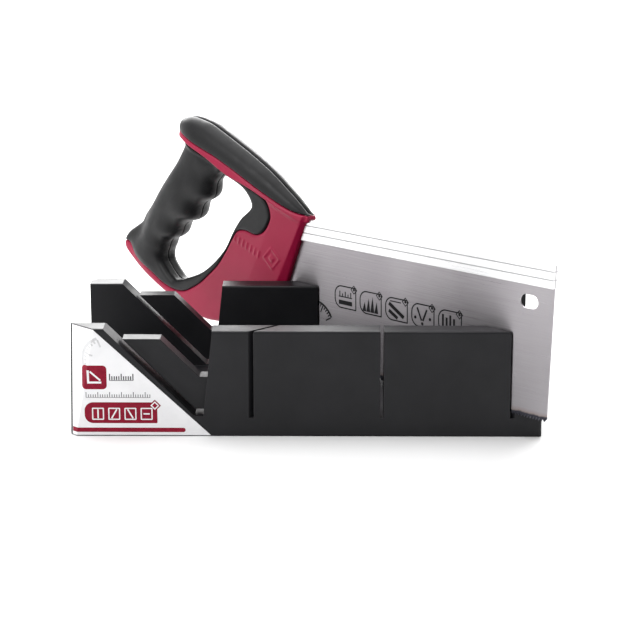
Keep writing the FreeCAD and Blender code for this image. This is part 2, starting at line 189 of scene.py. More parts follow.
def box_plastic():
    look = Look("box_plastic", (0.012, 0.012, 0.014), 0.5, specular=0.24)
    normal, edges = look.edge(0.0006)
    patches = look.span(look.noise(22, 4), 0.3, 0.7)
    cloudy = look.mix(patches, (0.0085, 0.0085, 0.0100), (0.0125, 0.0125, 0.0145))
    dust = look.span(look.noise(900, 2), 0.68, 0.8, 0, 0.35)
    speckled = look.mix(dust, cloudy, (0.03, 0.03, 0.033))
    # Painted highlight: a lighter colour along the edges, broken up by noise.
    painted_edge_highlight = look.math("MULTIPLY", edges, look.span(look.noise(140, 3), 0.35, 0.7, 0.1, 0.6))
    look.drive("Base Color", look.mix(painted_edge_highlight, speckled, (0.06, 0.06, 0.064)))
    look.drive("Roughness", look.span(look.noise(60, 4), 0.3, 0.7, 0.36, 0.48))
    grain = look.bump(look.noise(2600, 2), 0.25, 0.00012, normal)
    waves = look.bump(look.noise(35, 2), 0.12, 0.0008, grain)
    look.drive("Normal", waves)
    return look.mat


def label_film():
    look = Look("label_film", (0.8, 0.8, 0.81), 0.38, specular=0.45)
    paper = look.mix(look.span(look.noise(60, 4), 0.3, 0.7), (0.8, 0.8, 0.815), (0.88, 0.88, 0.89))
    look.drive("Base Color", paper)
    look.drive("Roughness", look.span(look.noise(300, 3), 0.3, 0.7, 0.3, 0.45))
    look.drive("Normal", look.bump(look.noise(90, 3), 0.2, 0.0003))
    return look.mat


def print_ink(name, dark, light, roughness=0.4):
    look = Look(name, light, roughness, specular=0.15)
    tone = look.span(look.noise(420, 4), 0.35, 0.65)
    look.drive("Base Color", look.mix(tone, dark, light))
    look.drive("Roughness", look.span(look.noise(800, 2), 0.3, 0.7, roughness - 0.08, roughness + 0.1))
    look.drive("Normal", look.bump(look.noise(1500, 2), 0.15, 0.00005))
    return look.mat


def blade_steel():
    look = Look("blade_steel", (0.5, 0.49, 0.5), 0.32, metallic=1.0)
    lines = look.noise(1, 5, 0.7, look.along_saw((25, 900, 2600)))
    broad = look.noise(1, 2, 0.5, look.along_saw((9, 9, 3)))
    metal = look.mix(look.span(lines, 0.3, 0.7), (0.305, 0.285, 0.302), (0.425, 0.405, 0.422))
    # Painted reflections: broad dark bands across the steel.
    painted_reflections = look.mix(look.span(broad, 0.42, 0.66, 0, 0.6), metal, (0.18, 0.165, 0.18))
    # Painted sheen: the steel is lighter towards the toe.
    toe = look.span(look.dot(look.place, tuple(ALONG)), *TOE_SHEEN_SPAN)
    painted_reflections = look.mix(look.math("MULTIPLY", toe, 0.36), painted_reflections, (0.56, 0.54, 0.56))
    height = look.above_teeth()
    wavy = look.math("ADD", height, look.span(look.noise(160, 2), 0.3, 0.7, -0.0004, 0.0004))
    tinted = look.mix(look.span(wavy, *TINT_FADE), painted_reflections, (0.33, 0.28, 0.27))
    hard = look.mix(look.span(wavy, *HARD_FADE), tinted, (0.05, 0.05, 0.062))
    look.drive("Base Color", hard)
    look.drive("Roughness", look.span(lines, 0.3, 0.7, 0.26, 0.42))
    look.drive("Normal", look.bump(lines, 0.22, 0.00006))
    return look.mat


def back_aluminium():
    look = Look("back_aluminium", (0.92, 0.92, 0.93), 0.3, metallic=1.0)
    normal, edges = look.edge(0.0003)
    lines = look.noise(1, 4, 0.65, look.along_saw((20, 1500, 3000)))
    metal = look.mix(look.span(lines, 0.3, 0.7), (0.80, 0.80, 0.81), (0.93, 0.93, 0.935))
    height = look.above_teeth()
    # Painted shade: a dark line along each of the two grooves of the back.
    for groove in (BACK_LOW + BACK_STEP, BACK_LOW + 2 * BACK_STEP):
        off = look.math("ABSOLUTE", look.math("SUBTRACT", height, groove * MM))
        metal = look.mix(look.span(off, *GROOVE_SHADE_FADE), metal, (0.45, 0.45, 0.46))
    # Painted highlight: the colour goes nearly white along the edges.
    look.drive("Base Color", look.mix(look.math("MULTIPLY", edges, 0.3), metal, (0.99, 0.99, 0.99)))
    look.drive("Roughness", look.span(lines, 0.3, 0.7, 0.24, 0.38))
    look.drive("Normal", look.bump(lines, 0.15, 0.00004, normal))
    return look.mat


def handle_plastic():
    look = Look("handle_plastic", (0.30, 0.004, 0.035), 0.36, specular=0.28)
    tone = look.span(look.noise(30, 4), 0.3, 0.7)
    body = look.mix(tone, (0.29, 0.0035, 0.036), (0.35, 0.006, 0.048))
    flecks = look.span(look.noise(1300, 2), 0.6, 0.78, 0, 0.25)
    look.drive("Base Color", look.mix(flecks, body, (0.42, 0.03, 0.08)))
    look.drive("Roughness", look.span(look.noise(240, 4), 0.3, 0.7, 0.3, 0.44))
    look.drive("Normal", look.bump(look.noise(1800, 2), 0.22, 0.00008))
    return look.mat


def soft_rubber():
    look = Look("soft_rubber", (0.012, 0.012, 0.0135), 0.42, specular=0.26)
    facing = look.dot(look.node("ShaderNodeNewGeometry").outputs["Normal"], tuple(ALONG))
    up = look.dot(look.place, tuple(UP))
    along = look.dot(look.place, tuple(ALONG))
    slants = (look.math("ADD", up, along), look.math("SUBTRACT", up, along))
    ridges = [look.math("SINE", look.math("MULTIPLY", slant, HATCH_RATE)) for slant in slants]
    hatch = look.math("MULTIPLY", look.math("MAXIMUM", *ridges), look.span(facing, 0.45, 0.65))
    tone = look.span(look.noise(45, 4), 0.3, 0.7)
    body = look.mix(tone, (0.0035, 0.0035, 0.0042), (0.0075, 0.0075, 0.0086))
    rubbed = look.span(look.noise(700, 3), 0.6, 0.8, 0, 0.3)
    look.drive("Base Color", look.mix(rubbed, body, (0.03, 0.03, 0.032)))
    look.drive("Roughness", look.span(look.noise(200, 4), 0.3, 0.7, 0.34, 0.48))
    grain = look.bump(look.noise(1600, 2), 0.22, 0.0001)
    look.drive("Normal", look.bump(hatch, 0.5, 0.0001, grain))
    return look.mat


def floor_paint():
    look = Look("floor_paint", (0.9, 0.9, 0.9), 0.6, specular=0.3)
    look.drive("Base Color", look.mix(look.noise(3, 3), (0.9, 0.9, 0.9), (0.93, 0.93, 0.93)))
    return look.mat


# ------------------------------------------------------------------ pieces
def add_piece(name, points, faces, mat, body, stands_for=(), smooth=True):
    mesh = bpy.data.meshes.new(name)
    mesh.from_pydata(np.asarray(points).tolist(), [], [list(map(int, f)) for f in faces])
    mesh.validate()
    mesh.polygons.foreach_set("use_smooth", [smooth] * len(mesh.polygons))
    mesh.materials.append(mat)
    piece = bpy.data.objects.new(name, mesh)
    bpy.context.scene.collection.objects.link(piece)
    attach(piece, body)
    if stands_for:
        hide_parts(*stands_for)
    return piece


def repaint(node, mat):
    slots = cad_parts[node].data.materials
    slots.clear()
    slots.append(mat)


# ------------------------------------------------------------------ curves and fields
def smooth_line(points, closed, steps=6):
    """Catmull-Rom line through the points."""
    p = np.array(points, float)
    if closed:
        p = np.vstack([p[-1], p, p[0], p[1]])
    else:
        p = np.vstack([2 * p[0] - p[1], p, 2 * p[-1] - p[-2]])
    t = np.arange(steps)[:, None] / steps
    runs = []
    for a, b, c, d in zip(p, p[1:], p[2:], p[3:]):
        runs.append(b + 0.5 * t * (c - a + t * (2 * a - 5 * b + 4 * c - d + t * (3 * b - a - 3 * c + d))))
    if not closed:
        runs.append(p[-2:-1])
    return np.vstack(runs)


def height_at(points, x):
    line = smooth_line(points, False)
    line = line[np.argsort(line[:, 0])]
    return np.interp(x, line[:, 0], line[:, 1])


def distance_to(points, x, z, steps=6):
    """Signed distance to a closed smooth outline, negative inside."""
    line = smooth_line(points, True, steps)
    best = np.full(x.shape, 1e9)
    inside = np.zeros(x.shape, bool)
    for (ax, az), (bx, bz) in zip(line, np.roll(line, -1, 0)):
        ex, ez = bx - ax, bz - az
        px, pz = x - ax, z - az
        t = np.clip((px * ex + pz * ez) / (ex * ex + ez * ez + 1e-12), 0, 1)
        best = np.minimum(best, (px - t * ex) ** 2 + (pz - t * ez) ** 2)
        crosses = (az > z) != (bz > z)
        if ez:
            inside ^= crosses & (x < ax + (z - az) * ex / ez)
    return np.where(inside, -1, 1) * np.sqrt(best)


def both(a, b, r):
    """Where a and b are both inside, with the edge between them rounded."""
    return np.minimum(np.maximum(a + r, b + r), 0) + np.hypot(np.maximum(a + r, 0), np.maximum(b + r, 0)) - r


def either(a, b, k):
    """Where a or b is inside, blended over k."""
    h = np.clip(0.5 + 0.5 * (b - a) / k, 0, 1)
    return b * (1 - h) + a * h - k * h * (1 - h)


def skin_of(field, start, step):
    """Quads round the inside of a field: one point in each cell that the surface crosses."""
    inside = field < 0
    cells = tuple(n - 1 for n in field.shape)
    total = np.zeros((cells[0] * cells[1] * cells[2], 3))
    count = np.zeros(len(total))
    crossings = []
    for axis in range(3):
        low = [slice(None)] * 3
        high = [slice(None)] * 3
        low[axis], high[axis] = slice(None, -1), slice(1, None)
        low, high = tuple(low), tuple(high)
        at = np.argwhere(inside[low] != inside[high])
        a, b = field[low][tuple(at.T)], field[high][tuple(at.T)]
        point = at.astype(float)
        point[:, axis] += a / (a - b)
        one, two = [k for k in range(3) if k != axis]
        corners = []
        valid = np.ones(len(at), bool)
        for d1, d2 in ((0, 0), (-1, 0), (-1, -1), (0, -1)):
            cell = at.copy()
            cell[:, one] += d1
            cell[:, two] += d2
            valid &= ((cell >= 0) & (cell < cells)).all(1)
            corners.append(cell)
        flat = [np.ravel_multi_index(c[valid].T, cells) for c in corners]
        for f in flat:
            for k in range(3):
                total[:, k] += np.bincount(f, point[valid, k], len(total))
            count += np.bincount(f, minlength=len(total))
        turned = (a[valid] > 0) ^ (axis == 1)
        quads = np.stack(flat, 1)
        quads[~turned] = quads[~turned][:, ::-1]
        crossings.append(quads)
    used = np.flatnonzero(count)
    number = np.full(len(total), -1)
    number[used] = np.arange(len(used))
    points = np.array(start) + step * total[used] / count[used, None]
    return points, number[np.vstack(crossings)][:, ::-1]


# ------------------------------------------------------------------ handle outlines
# Points are x and z in the saw's frame.  CAP_WIDE holds x and the crown's half width, and GRIP holds the
# distance down the grip's axis, its rear and front edges across that axis, and its half width.
PLATE = [
    (-180.8, 106), (-187, 92.5), (-195, 74), (-203, 55), (-211, 36), (-217.5, 27), (-232, 22.5),
    (-250, 18.8), (-268, 15.6), (-285, 14.5), (-299.9, 17.2), (-312.7, 21.3), (-332.5, 29.2),
    (-351.8, 38.8), (-366, 48.6), (-373.4, 55), (-375, 59.5), (-373.4, 64.4),
    (-368.2, 69.4), (-359.8, 74.2), (-352, 79.4), (-346, 87),
    (-330, 98), (-312, 122), (-301, 136), (-285, 139), (-262, 129.5), (-240, 121), (-215, 112),
    (-190, 107.5),
]
OPENING = [
    (-268, 127.5), (-258.9, 124.6), (-251, 122), (-244.1, 119), (-239.2, 115.9), (-235.3, 111.9),
    (-232.9, 107.9), (-232.4, 104.9), (-234.4, 101.5), (-239.4, 97.2), (-244.4, 93.4), (-251.5, 84.9),
    (-260.1, 71.5), (-265.6, 65.2), (-274.7, 56.9), (-284.7, 49.6), (-292.7, 45.3), (-302, 41.6),
    (-312, 38), (-319.5, 37), (-327, 41.5), (-336, 51), (-341, 60), (-338, 70), (-326, 84), (-308, 103),
    (-292, 120), (-281, 127.5),
]
SOFT_ZONE = [
    (-392, 70), (-368.7, 61.6), (-359, 51.6), (-349.1, 45), (-339.3, 39), (-329.5, 34.4), (-317.6, 31.7),
    (-307.7, 32.6), (-299.7, 36), (-289.7, 41.8), (-279.7, 49.6), (-269.7, 58.3), (-261.6, 68.6),
    (-256.6, 76), (-252, 82), (-247.5, 85.8), (-239.6, 86.7), (-229.7, 85.1), (-221.7, 88.4),
    (-216.7, 94.3), (-214.6, 100.2), (-216.5, 107.2), (-221.4, 112.7), (-229.3, 116.3), (-240, 119.8),
    (-256.1, 125.7), (-274.6, 134.6), (-295.6, 142.6), (-312, 147.4), (-330, 152), (-392, 168),
]
CAP_LOW = [
    (-330, 154), (-312.8, 153), (-308.5, 151.4), (-295, 146.8), (-280.8, 141.9), (-263.6, 136.2),
    (-240.2, 126.3), (-217.2, 115.7), (-195.2, 106.8), (-180.5, 103.9), (-170, 103),
]
CAP_TOP = [
    (-330, 154.5), (-312.8, 155.4), (-310.4, 158.8), (-305.5, 160.9), (-298.2, 161.6), (-287.9, 160.1),
    (-277.9, 157.6), (-258, 149.3), (-238.2, 140.5), (-218.3, 130.3), (-198.5, 117.5), (-188.6, 110.4),
    (-181.6, 105.6), (-170, 104),
]
CAP_WIDE = [
    (-330, 0.3), (-312.9, 0.4), (-311.8, 4.4), (-306.5, 8.9), (-295, 12.6), (-280, 13.2),
    (-240, 11.9), (-217, 10.2), (-195, 7.2), (-180.5, 3.2), (-170, 3),
]
BAND_LOW = [
    (-330, 152), (-312, 147.7), (-295.6, 142.9), (-274.6, 134.6), (-256.1, 125.7), (-235, 119.5),
    (-215, 111.5), (-190, 102), (-170, 98),
]
GRIP = [
    (-22, -24, 17, 12), (-10, -21.5, 17.5, 11.8), (8, -18.6, 18.5, 13), (25, -19.8, 17.5, 14.8),
    (42, -21.0, 14, 15), (58, -20.6, 8.8, 14.6), (72, -18.6, 6.2, 14), (83, -18.0, 6.4, 13.5),
    (95, -21.2, 9, 12.8), (104, -19.6, 8, 11.6), (118, -19, 6, 10),
]
GRIP_TOP = (-291, 128)
GRIP_AXIS = (-0.596, -0.803)
GRIP_ENDS = (-16, 104)
GRIP_FORWARD = 0.9
GRIP_FULL = 2.25
GRIP_ROUND = 9.0
GRIP_BLEND = 5.0

# Finger ridges: one ridge's place down the axis, their spacing, how far they stand out in front and at
# the sides, and the stretch that has them.
RIDGE_AT = 36.5
RIDGE_PITCH = 25.2
RIDGE_DEEP = 2.1
RIDGE_WIDE = 1.5
RIDGES_FROM, RIDGES_TO, RIDGES_FADE = -6, 80, 10

# Front edge of the plate: its x at the tooth line, its lean, and the lean's cosine.
FRONT_FOOT, FRONT_LEAN, FRONT_COSINE = -226.8, 0.433, 0.918
# Pairs of (where, how much): the bevel's width by height, the edge's rounding by depth.
BEVEL_WIDE = ((45, 103), (7.0, 1.6))
PLATE_ROUND = ((0, 30), (0.7, 3.2))
# Half thickness at the front edge, and what the bevel, the plate's face and the heel add to it.
EDGE_HALF, BEVEL_RISE, FACE_RISE, HEEL_RISE = 3.2, 3.1, 1.7, 1.0
FACE_RUN = 24
HEEL_FROM, HEEL_RUN = -300, 60

OPENING_TRIM, OPENING_ROUND = 1.5, 3.6
BAND_OUT, BAND_LEAN, BAND_ROUND = 1.0, 1.5, 1.2
BAND_BACK, BAND_BACK_ROUND, BAND_BLEND = -311.5, 1.5, 4.0
FRONT_END, END_ROUND = -180.6, 0.4

# The soft zone stands proud of the hard plastic, with a groove round it, and both fade out at the heel.
SOFT_RISE, SOFT_RUN = 0.6, 1.2
GROOVE_DEEP, GROOVE_HALF = 0.7, 0.75
HEEL_END, HEEL_FADE = -378, 14
PART_GAP, PART_ROUND = 0.06, 0.35
MIDDLE_ROUND = 0.3
CAP_GAP, CAP_GAP_ROUND = 0.2, 0.5

CROWN_FULL = 2.5
CROWN_LEAST = 0.6
CROWN_FOOT, CROWN_FOOT_ROUND = 0.15, 0.6
CROWN_BACK, CROWN_BACK_ROUND = -313.0, 0.3
CROWN_FRONT = -180.2
SEAM_HALF, SEAM_ROUND = 0.55, 1.5

# The space that the handle's fields are worked out in: along, out from the middle, and up.
HANDLE_X, HANDLE_HALF, HANDLE_Z = (-379, -177), 17.5, (11.5, 164)

# Raised mark: a diamond line round a small diamond, then slanted bars.
EMBLEM_AT = (-214.0, 70.5)
EMBLEM_RING, EMBLEM_LINE, EMBLEM_CORE = 5.2, 0.6, 2.0
EMBLEM_HIGH, EMBLEM_EDGE = 0.5, 0.8
BAR_COUNT = 7
BAR_FIRST = (-226.5, 71.8)
BAR_STEP = (-4.0, 1.45)
BAR_REACH = (1.4, 4.0)
BAR_HALF = 0.75


def front_depth(x, z):
    """Distance behind the leaning front edge of the handle."""
    return (FRONT_FOOT + FRONT_LEAN * z - x) * FRONT_COSINE


def plate_half(x, z):
    """Thin at the front edge, a bevel that widens downward, then the full plate."""
    s = front_depth(x, z)
    bevel = np.interp(z, *BEVEL_WIDE)
    thick = EDGE_HALF + BEVEL_RISE * np.clip(s / bevel, 0, 1)
    thick = thick + FACE_RISE * np.clip((s - bevel) / FACE_RUN, 0, 1)
    return thick + HEEL_RISE * np.clip((HEEL_FROM - x) / HEEL_RUN, 0, 1)


def emblem(x, z):
    """Raised diamond and a row of slanted bars: height in millimetres."""
    across = (np.abs(x - EMBLEM_AT[0]) + np.abs(z - EMBLEM_AT[1])) / math.sqrt(2)
    nearest = np.minimum(np.abs(across - EMBLEM_RING) - EMBLEM_LINE, across - EMBLEM_CORE)
    bx, bz = BAR_REACH
    for i in range(BAR_COUNT):
        px = x - (BAR_FIRST[0] + BAR_STEP[0] * i) + bx / 2
        pz = z - (BAR_FIRST[1] + BAR_STEP[1] * i) + bz / 2
        t = np.clip((px * bx + pz * bz) / (bx * bx + bz * bz), 0, 1)
        nearest = np.minimum(nearest, np.hypot(px - bx * t, pz - bz * t) - BAR_HALF)
    return EMBLEM_HIGH * np.clip(0.5 - nearest / EMBLEM_EDGE, 0, 1)


def grip_field(x, y, z):
    """The grip as a tube of squarish ovals down its axis, with finger ridges in front."""
    ax, az = GRIP_AXIS
    t = (x - GRIP_TOP[0]) * ax + (z - GRIP_TOP[1]) * az
    s = (x - GRIP_TOP[0]) * -az + (z - GRIP_TOP[1]) * ax - GRIP_FORWARD
    rear, reach, half = (height_at([(g[0], g[k]) for g in GRIP], t) for k in (1, 2, 3))
    middle, deep = (rear + reach) / 2, (reach - rear) / 2
    forward = np.clip((s - middle) / deep, 0, 1)
    window = np.clip((t - RIDGES_FROM) / RIDGES_FADE, 0, 1) * np.clip((RIDGES_TO - t) / RIDGES_FADE, 0, 1)
    wave = np.cos(2 * math.pi * (t - RIDGE_AT) / RIDGE_PITCH) * window * forward
    deep = deep + RIDGE_DEEP * wave
    half = half + RIDGE_WIDE * wave * (1 - forward * 0.3)
    shape = (np.abs((s - middle) / deep) ** GRIP_FULL + np.abs(y / half) ** GRIP_FULL) ** (1 / GRIP_FULL)
    tube = (shape - 1) * np.minimum(deep, half)
    ends = np.abs(t - sum(GRIP_ENDS) / 2) - (GRIP_ENDS[1] - GRIP_ENDS[0]) / 2
    return both(tube, ends, GRIP_ROUND)


def body_fields(x, y, z):
    """Hard shell and soft grip: plate, grip and band in one, then parted round the soft zone."""
    edge_round = np.interp(front_depth(x, z), *PLATE_ROUND)
    plate = both(distance_to(PLATE, x, z), np.abs(y) - plate_half(x, z), edge_round)
    plate = both(plate, -distance_to(OPENING, x, z) - OPENING_TRIM, OPENING_ROUND)
    low, wide, band_low = (height_at(c, x) for c in (CAP_LOW, CAP_WIDE, BAND_LOW))
    up = np.clip((z - band_low) / np.maximum(low - band_low, 1), 0, 1)
    band = both(np.abs(y) - wide - BAND_OUT + BAND_LEAN * up, band_low - z, BAND_ROUND)
    band = both(band, BAND_BACK - x, BAND_BACK_ROUND)
    whole = either(plate, grip_field(x, y, z), GRIP_BLEND)
    whole = either(whole, band, BAND_BLEND)
    whole = both(whole, x - FRONT_END, END_ROUND)
    zone = distance_to(SOFT_ZONE, x, z)
    inward = np.clip((x - HEEL_END) / HEEL_FADE, 0, 1)
    raised = SOFT_RISE * np.clip(-zone / SOFT_RUN, 0, 1)
    groove = GROOVE_DEEP * np.exp(-((zone / GROOVE_HALF) ** 2))
    whole = whole - inward * (raised - groove) - emblem(x, z)
    whole = both(whole, z - low + CAP_GAP, CAP_GAP_ROUND)
    half = both(whole, PART_GAP - y, MIDDLE_ROUND)
    return both(half, PART_GAP - zone, PART_ROUND), both(half, zone + PART_GAP, PART_ROUND)


def crown_field(x, y, z):
    """The soft cap along the top, with its half of the rounded seam."""
    low, top, wide = (height_at(c, x) for c in (CAP_LOW, CAP_TOP, CAP_WIDE))
    tall = np.maximum(top - low, CROWN_LEAST)
    crown = (np.abs(y) / wide) ** CROWN_FULL + (np.maximum(z - low, 0) / tall) ** CROWN_FULL
    crown = (crown ** (1 / CROWN_FULL) - 1) * np.minimum(wide, 0.85 * tall)
    crown = both(crown, low + CROWN_FOOT - z, CROWN_FOOT_ROUND)
    crown = both(both(crown, CROWN_BACK - x, CROWN_BACK_ROUND), x - CROWN_FRONT, END_ROUND)
    return both(crown, SEAM_HALF - y, SEAM_ROUND)


def build_handle():
    """Skins of the half that lies at y > 0, each placed twice, mirrored for the other side."""
    step = 0.7
    xs = np.arange(*HANDLE_X, step)
    ys = np.arange(-1.5 * step, HANDLE_HALF, step)
    zs = np.arange(*HANDLE_Z, step)
    x, z = np.meshgrid(xs, zs, indexing="ij")
    grid = (x[:, None, :], ys[None, :, None], z[:, None, :])
    hard, soft = body_fields(*grid)
    plastic, rubber = handle_plastic(), soft_rubber()
    for node, field, mat, slot in (
        ("handle_shell", hard, plastic, "handle_plastic"),
        ("soft_grip", soft, rubber, "soft_rubber"),
        ("soft_cap", crown_field(*grid), rubber, "soft_rubber"),
    ):
        points, faces = skin_of(field, (xs[0], ys[0], zs[0]), step)
        for side, name in ((-1, "left"), (1, "right")):
            placed = from_saw(points * (1, side, 1))
            turned = faces if side > 0 else faces[:, ::-1]
            cad_node = node + "_" + name
            add_piece(cad_node + "_form", placed, turned, mat, "saw", (cad_node,))


# ------------------------------------------------------------------ printed marks
# The label folds along a line that starts at FOLD_LOW and leans by FOLD_LEAN with height.
FOLD_LOW = 4.0
FOLD_LEAN = 12.5 / 70
FOLD_TURN = math.radians(45)
LABEL_OUT = 0.3
LABEL_SUNK, LABEL_INK = 0.02, 0.04
BLADE_FACE, BLADE_INK = 0.39, 0.05

KNOB_AT = (54.2, 20.1)
SIGN_FIRST = (-158.6, 43.9)
SIGN_STEP = (23.75, -0.3)
SIGN_WIDE = 20.6
SIGN_TALL = 16.0


def spot(cx, cz, r, a):
    return (cx + r * math.cos(a), cz + r * math.sin(a))


def disc(cx, cz, r, n):
    return [[spot(cx, cz, r, 2 * math.pi * i / n) for i in range(n)]]


def arc(cx, cz, r0, r1, a0, a1, n=40):
    """Part of a ring, as a strip of quads."""
    turns = [math.radians(a0 + (a1 - a0) * i / n) for i in range(n + 1)]
    inner = [spot(cx, cz, r0, a) for a in turns]
    outer = [spot(cx, cz, r1, a) for a in turns]
    return [[inner[i], outer[i], outer[i + 1], inner[i + 1]] for i in range(n)]


def diamond(cx, cz, r):
    return [[(cx - r, cz), (cx, cz - r), (cx + r, cz), (cx, cz + r)]]


def diamond_line(cx, cz, r, w):
    """Outline of a diamond, as four quads."""
    inner, outer = diamond(cx, cz, r - w)[0], diamond(cx, cz, r)[0]
    return [[inner[i], outer[i], outer[(i + 1) % 4], inner[(i + 1) % 4]] for i in range(4)]


def bar(x0, z0, x1, z1, w):
    """Straight stroke of width w."""
    long = math.hypot(x1 - x0, z1 - z0)
    nx, nz = -(z1 - z0) / long * w / 2, (x1 - x0) / long * w / 2
    return [[(x0 + nx, z0 + nz), (x0 - nx, z0 - nz), (x1 - nx, z1 - nz), (x1 + nx, z1 + nz)]]


def block(x0, z0, x1, z1, left=0.4, right=0.4, n=10):
    """Filled rectangle with rounded left and right corners."""
    loop = []
    for cx, cz, r, a0 in (
        (x1 - right, z1 - right, right, 0), (x0 + left, z1 - left, left, 90),
        (x0 + left, z0 + left, left, 180), (x1 - right, z0 + right, right, 270),
    ):
        for i in range(n + 1):
            loop.append(spot(cx, cz, r, math.radians(a0 + 90 * i / n)))
    return [loop]


def frame_line(x0, z0, x1, z1, left, right, w):
    """Outline of a block, as a strip of quads."""
    outer = block(x0, z0, x1, z1, left, right)[0]
    inner = block(x0 + w, z0 + w, x1 - w, z1 - w, max(left - w, 0.1), max(right - w, 0.1))[0]
    n = len(outer)
    return [[inner[i], outer[i], outer[(i + 1) % n], inner[(i + 1) % n]] for i in range(n)]


def printed(name, shapes, place, mat, body, folded=False):
    """Thin closed print: flat shapes in X and Z, thickened along Y from 0 to 1."""
    bm = bmesh.new()
    for shape in shapes:
        try:
            bm.faces.new([bm.verts.new((a, 0, b)) for a, b in shape])
        except ValueError:
            continue
    bmesh.ops.remove_doubles(bm, verts=bm.verts, dist=1e-4)
    if folded:
        everything = bm.verts[:] + bm.edges[:] + bm.faces[:]
        bmesh.ops.bisect_plane(bm, geom=everything, plane_co=(FOLD_LOW, 0, 0), plane_no=(1, 0, -FOLD_LEAN))
    made = bmesh.ops.extrude_face_region(bm, geom=bm.faces[:])
    for v in made["geom"]:
        if isinstance(v, bmesh.types.BMVert):
            v.co.y = 1
    bmesh.ops.recalc_face_normals(bm, faces=bm.faces)
    bm.verts.index_update()
    points = place(np.array([v.co[:] for v in bm.verts]))
    faces = [[v.index for v in f.verts] for f in bm.faces]
    piece = add_piece(name, points, faces, mat, body, smooth=False)
    bm.free()
    return piece


def on_label(level):
    """Places prints on the label, round its fold, level mm above its face."""

    def place(p):
        out = LABEL_OUT - LABEL_SUNK + p[:, 1] * LABEL_INK + level
        fold = FOLD_LOW + FOLD_LEAN * p[:, 2]
        flat = p[:, 0] >= fold - 1e-6
        lean = math.cos(FOLD_TURN)
        turn = math.tan(FOLD_TURN / 2)
        at_fold = np.abs(p[:, 0] - fold) < 1e-3
        x = np.where(flat, p[:, 0], p[:, 0] - out * lean)
        y = np.where(flat, -out, fold - p[:, 0] - out * lean)
        x = np.where(at_fold, p[:, 0] - out * turn, x)
        y = np.where(at_fold, -out, y)
        return from_box(np.stack([x, y, p[:, 2]], 1))

    return place


def on_blade(p):
    """Places prints on the near side of the blade."""
    return from_saw(np.stack([p[:, 0], -BLADE_FACE - p[:, 1] * BLADE_INK, p[:, 2]], 1))


def protractor(cx, cz, r0, r1, a0, a1, steps, w):
    """Arc of a protractor: a rim outside, and strokes of width w towards its middle."""
    marks = arc(cx, cz, r1 - 1.6 * w, r1, a0, a1)
    for i in range(steps + 1):
        a = math.radians(a0 + (a1 - a0) * i / steps)
        inner = r0 if i % 5 == 0 else (r0 + r1) / 2
        marks += bar(*spot(cx, cz, inner, a), *spot(cx, cz, r1 - 1.7 * w, a), w)
    return marks


def ruler(x0, x1, z, line, first, pitch, count, foot, tall_top, low_top, w):
    """A base line and a row of ticks of width w over it, every fifth one taller."""
    marks = bar(x0, z, x1, z, line)
    for i in range(count):
        x = first + pitch * i
        marks += bar(x, foot, x, tall_top if i % 5 == 0 else low_top, w)
    return marks


def set_square(x, z):
    """Two legs that meet at x, z, and the long side between them."""
    foot = [(x, z), (x + 9.0, z), (x + 9.0, z + 1.3), (x, z + 1.3)]
    upright = [(x, z + 1.3), (x + 1.3, z + 1.3), (x + 1.3, z + 8.6), (x, z + 8.6)]
    return [foot, upright] + bar(x + 1.8, z + 7.8, x + 8.4, z + 2.0, 1.1)


def cut_icons(x, z):
    """Four framed strokes: upright, leaning each way, and level."""
    icons = []
    for run, rise in ((0, 6), (3.4, 6), (-3.4, 6), (4, 0)):
        icons += frame_line(x, z, x + 7.6, z + 8, 0.6, 0.6, 0.75)
        mx, mz = x + 3.8, z + 4
        icons += bar(mx - run / 2, mz - rise / 2, mx + run / 2, mz + rise / 2, 0.9)
        x += 10.3
    return icons


def build_label():
    red = print_ink("ink_crimson", (0.21, 0.003, 0.019), (0.27, 0.006, 0.027))
    white = print_ink("ink_white", (0.8, 0.8, 0.81), (0.86, 0.86, 0.87))
    grey = print_ink("ink_pale_grey", (0.56, 0.56, 0.57), (0.63, 0.63, 0.64))
    dark = print_ink("ink_charcoal", (0.03, 0.03, 0.035), (0.06, 0.06, 0.065))
    pieces = [
        ("label_protractor", protractor(24, 50, 9, 16, 112, 262, 15, 1.1), grey, 0),
        ("label_badge", block(8.4, 30.8, 24.0, 46.4, 2.6, 2.6), red, 0.02),
        ("label_stripe", block(1.6, 2.5, 73.5, 5.4, 0.1, 1.4), red, 0),
        ("label_panel", block(9.5, 8.4, 55.7, 22.2, 5.5, 0.6, 14), red, 0.02),
        ("label_knob", diamond(*KNOB_AT, 3.9), red, 0.04),
    ]
    panel_marks = cut_icons(14.2, 10.6) + diamond_line(*KNOB_AT, 2.8, 1.0)
    scale = ruler(
        25.6, 41.0, 36.6, 0.35, first=25.9, pitch=1.48, count=11,
        foot=36.9, tall_top=41.0, low_top=39.4, w=0.7,
    )
    rule = ruler(
        10.5, 51.5, 25.4, 0.25, first=10.7, pitch=1.5, count=28,
        foot=25.6, tall_top=29.0, low_top=27.4, w=0.42,
    )
    pieces += [
        ("label_badge_mark", set_square(11.6, 34.6), white, 0.05),
        ("label_panel_marks", panel_marks, white, 0.07),
        ("label_scale", scale, dark, 0.02),
        ("label_rule", rule, dark, 0.02),
    ]
    for name, shapes, mat, level in pieces:
        printed(name, shapes, on_label(level), mat, "box", folded=True)


def sign_frame(x, z):
    """Frame of a pictogram, with a diamond at its upper right corner."""
    corner = (x + SIGN_WIDE - 2.2, z + SIGN_TALL - 1.6)
    outline = frame_line(x, z, x + SIGN_WIDE, z + SIGN_TALL, 6.5, 0.5, 0.9)
    return outline + diamond_line(*corner, 3.2, 0.9) + diamond(*corner, 1.2)


def sign_comb(x, z):
    """A board with upright strokes over it."""
    marks = bar(x + 4, z + 8.2, x + 16.6, z + 8.2, 0.8) + bar(x + 4, z + 4.2, x + 16.6, z + 4.2, 3.0)
    for k in range(5):
        at = x + 5 + 2.6 * k
        marks += bar(at, z + 8.7, at, z + (12 if k % 2 == 0 else 10.4), 0.9)
    return marks


